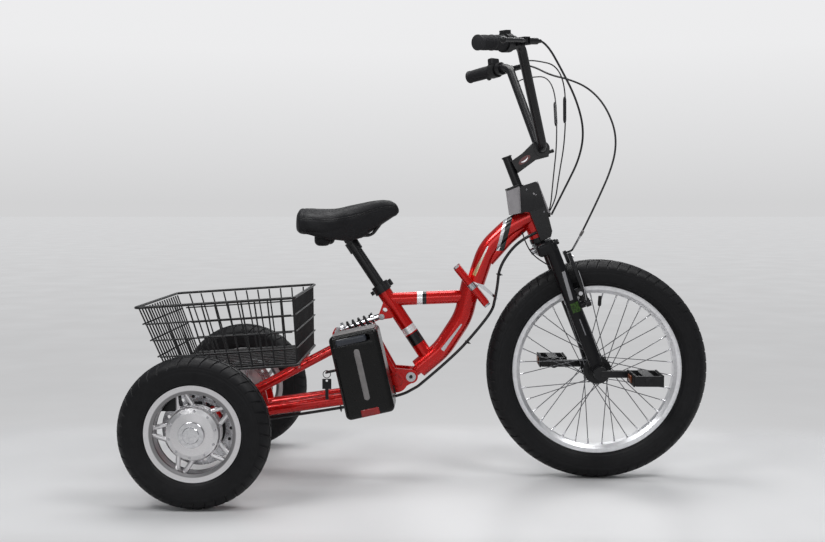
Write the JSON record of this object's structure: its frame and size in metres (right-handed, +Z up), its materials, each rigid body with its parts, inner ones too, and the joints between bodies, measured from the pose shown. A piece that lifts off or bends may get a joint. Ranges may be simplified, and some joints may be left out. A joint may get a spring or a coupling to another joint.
{
  "type": "adult tricycle",
  "caption": "Small-wheeled electric adult tricycle with a pedalled front wheel, a hinged folding frame, a sprung rear arm, a wire basket and a slide-out battery.",
  "frame": {"origin": "on the floor, in the middle of the length and of the width", "axes": "+X is forward, +Y is the rider's left, +Z is up"},
  "size_m": [1.3804, 0.7026, 1.07],
  "materials": {
    "red_paint": "metallic gloss",
    "black_paint": "satin",
    "alloy": "machined",
    "steel": "brushed",
    "chrome": "polished",
    "tyre_rubber": "moulded",
    "grip_rubber": "matt",
    "black_plastic": "fine texture",
    "gloss_plastic": "gloss",
    "grey_plastic": "fine texture",
    "saddle_cover": "smooth vinyl"
  },
  "bodies": {
    "main_frame": {"main_frame": "red_paint", "frame_pins": "steel", "seat_clamp": "black_paint", "main_loom": "black_plastic"},
    "seat_lever": {"seat_lever": "black_paint"},
    "seat": {"seat_post": "black_paint", "saddle_mount": "black_paint", "saddle_base": "black_plastic", "saddle_cushion": "saddle_cover"},
    "front_frame": {"front_frame": "red_paint", "headset_cups": "black_paint", "head_box": "gloss_plastic", "head_cover": "grey_plastic", "fold_bolt": "steel", "front_loom": "black_plastic"},
    "fold_lever": {"fold_lever": "chrome"},
    "steering": {"fork": "black_paint", "crown_bolts": "steel", "stem": "black_paint", "handlebar": "black_paint", "grips": "grip_rubber", "bar_controls": "black_plastic", "brake_perches": "black_paint", "front_brake_cable": "black_plastic", "bar_cables": "black_plastic"},
    "throttle": {"throttle": "grip_rubber"},
    "brake_lever_right": {"brake_lever_right": "black_paint"},
    "brake_lever_left": {"brake_lever_left": "black_paint"},
    "rim_brake_left": {"rim_brake_left": "black_paint"},
    "rim_brake_right": {"rim_brake_right": "black_paint"},
    "front_wheel": {"front_tyre": "tyre_rubber", "front_rim": "alloy", "front_spokes": "steel", "front_hub": "black_paint"},
    "crankset": {"crankset": "black_paint"},
    "pedal_right": {"pedal_right": "black_plastic"},
    "pedal_left": {"pedal_left": "black_plastic"},
    "swing_arm": {"swing_arm": "red_paint", "arm_pins": "steel", "rear_calipers": "black_paint", "battery_rail": "black_plastic", "basket_sides": "black_paint", "basket_ends": "black_paint", "basket_floor": "black_paint", "basket_rim": "black_paint", "basket_carrier": "black_paint", "rear_loom": "black_plastic"},
    "battery": {"battery_case": "gloss_plastic", "battery_fittings": "black_plastic"},
    "battery_key": {"battery_key": "black_plastic"},
    "spare_key": {"spare_key": "black_plastic"},
    "shock_body": {"shock_body": "alloy", "shock_spring": "black_paint"},
    "shock_rod": {"shock_rod": "steel"},
    "rear_wheel_left": {"rear_tyre_left": "tyre_rubber", "rear_wheel_left": "alloy", "brake_disc_left": "steel"},
    "rear_wheel_right": {"rear_tyre_right": "tyre_rubber", "rear_wheel_right": "alloy", "brake_disc_right": "steel"}
  },
  "joints": [
    {"name": "frame_fold", "type": "hinge", "parent": "main_frame", "child": "front_frame", "pos_m": [0.108, -0.04, 0.48], "axis": [0.6293, 0, -0.7771], "range_deg": [0, 100], "deforming": ["front_loom"]},
    {"name": "fold_lever_turn", "type": "hinge", "parent": "front_frame", "child": "fold_lever", "pos_m": [0.12954, 0.034, 0.482], "axis": [0, -1, 0], "range_deg": [0, 120]},
    {"name": "steering_turn", "type": "hinge", "parent": "front_frame", "child": "steering", "pos_m": [0.40193, 0, 0.26627], "axis": [-0.3665, 0, 0.9304], "range_deg": [-45, 45], "deforming": ["bar_cables"]},
    {"name": "throttle_twist", "type": "hinge", "parent": "steering", "child": "throttle", "pos_m": [0.15625, -0.26368, 1.03577], "axis": [-0.6718, -0.7335, -0.1028], "range_deg": [0, 60], "stiffness_Nm_per_rad": 0.3, "springref_deg": -17.19},
    {"name": "brake_lever_right_squeeze", "type": "hinge", "parent": "steering", "child": "brake_lever_right", "pos_m": [0.21713, -0.252, 1.04092], "axis": [0.0695, 0.0758, -0.9947], "range_deg": [0, 16], "stiffness_Nm_per_rad": 2, "springref_deg": -17.19},
    {"name": "brake_lever_left_squeeze", "type": "hinge", "parent": "steering", "child": "brake_lever_left", "pos_m": [0.21713, 0.252, 1.04092], "axis": [-0.0695, 0.0758, 0.9947], "range_deg": [0, 16], "stiffness_Nm_per_rad": 2, "springref_deg": -17.19},
    {"name": "rim_brake_left_close", "type": "hinge", "parent": "steering", "child": "rim_brake_left", "pos_m": [0.38967, 0.05, 0.442], "axis": [0.9304, 0, 0.3665], "range_deg": [0, 3]},
    {"name": "rim_brake_right_close", "type": "hinge", "parent": "steering", "child": "rim_brake_right", "pos_m": [0.38967, -0.05, 0.442], "axis": [-0.9304, 0, -0.3665], "range_deg": [0, 3]},
    {"name": "front_wheel_spin", "type": "hinge", "parent": "steering", "child": "front_wheel", "pos_m": [0.41775, 0, 0.2725], "axis": [0, 1, 0], "continuous": true},
    {"name": "crank_spin", "type": "hinge", "parent": "steering", "child": "crankset", "pos_m": [0.41775, 0, 0.2725], "axis": [0, 1, 0], "continuous": true},
    {"name": "pedal_right_spin", "type": "hinge", "parent": "crankset", "child": "pedal_right", "pos_m": [0.51275, -0.145, 0.2725], "axis": [0, 1, 0], "continuous": true},
    {"name": "pedal_left_spin", "type": "hinge", "parent": "crankset", "child": "pedal_left", "pos_m": [0.32275, 0.145, 0.2725], "axis": [0, 1, 0], "continuous": true},
    {"name": "seat_lever_turn", "type": "hinge", "parent": "main_frame", "child": "seat_lever", "pos_m": [-0.09855, 0.025, 0.48286], "axis": [0.5519, 0, -0.8339], "range_deg": [0, 120]},
    {"name": "seat_height", "type": "slide", "parent": "main_frame", "child": "seat", "axis": [-0.5519, 0, 0.8339], "range_m": [-0.07, 0.05]},
    {"name": "swing_arm_travel", "type": "hinge", "parent": "main_frame", "child": "swing_arm", "pos_m": [-0.0415, 0, 0.255], "axis": [0, 1, 0], "range_deg": [0, 6], "stiffness_Nm_per_rad": 400, "springref_deg": -34.38},
    {"name": "shock_tilt", "type": "hinge", "parent": "main_frame", "child": "shock_body", "pos_m": [-0.115, 0, 0.402], "axis": [0, 1, 0], "range_deg": [0, 8]},
    {"name": "shock_travel", "type": "slide", "parent": "shock_body", "child": "shock_rod", "axis": [0.9452, 0, 0.3265], "range_m": [0, 0.018], "deforming": ["shock_spring"]},
    {"name": "battery_slide", "type": "slide", "parent": "swing_arm", "child": "battery", "axis": [-0.2198, 0, 0.9755], "range_m": [0, 0.12]},
    {"name": "key_turn", "type": "hinge", "parent": "battery", "child": "battery_key", "pos_m": [-0.21473, -0.095, 0.28157], "axis": [-0.9755, 0, -0.2198], "range_deg": [0, 90]},
    {"name": "spare_key_swing", "type": "hinge", "parent": "battery_key", "child": "spare_key", "pos_m": [-0.2434, -0.095, 0.275], "axis": [0, 1, 0], "range_deg": [-25, 8]},
    {"name": "rear_wheel_left_spin", "type": "hinge", "parent": "swing_arm", "child": "rear_wheel_left", "pos_m": [-0.51725, 0.305, 0.173], "axis": [0, 1, 0], "continuous": true},
    {"name": "rear_wheel_right_spin", "type": "hinge", "parent": "swing_arm", "child": "rear_wheel_right", "pos_m": [-0.51725, -0.305, 0.173], "axis": [0, 1, 0], "continuous": true}
  ],
  "couplings": [
    {"joint": "crank_spin", "follows": "front_wheel_spin", "ratio": 1},
    {"joint": "rim_brake_left_close", "follows": "brake_lever_left_squeeze", "ratio": 0.1875},
    {"joint": "rim_brake_right_close", "follows": "brake_lever_left_squeeze", "ratio": 0.1875},
    {"joint": "shock_tilt", "follows": "swing_arm_travel", "ratio": 1.28},
    {"joint": "shock_travel", "follows": "swing_arm_travel", "m_per_rad": 0.162}
  ]
}
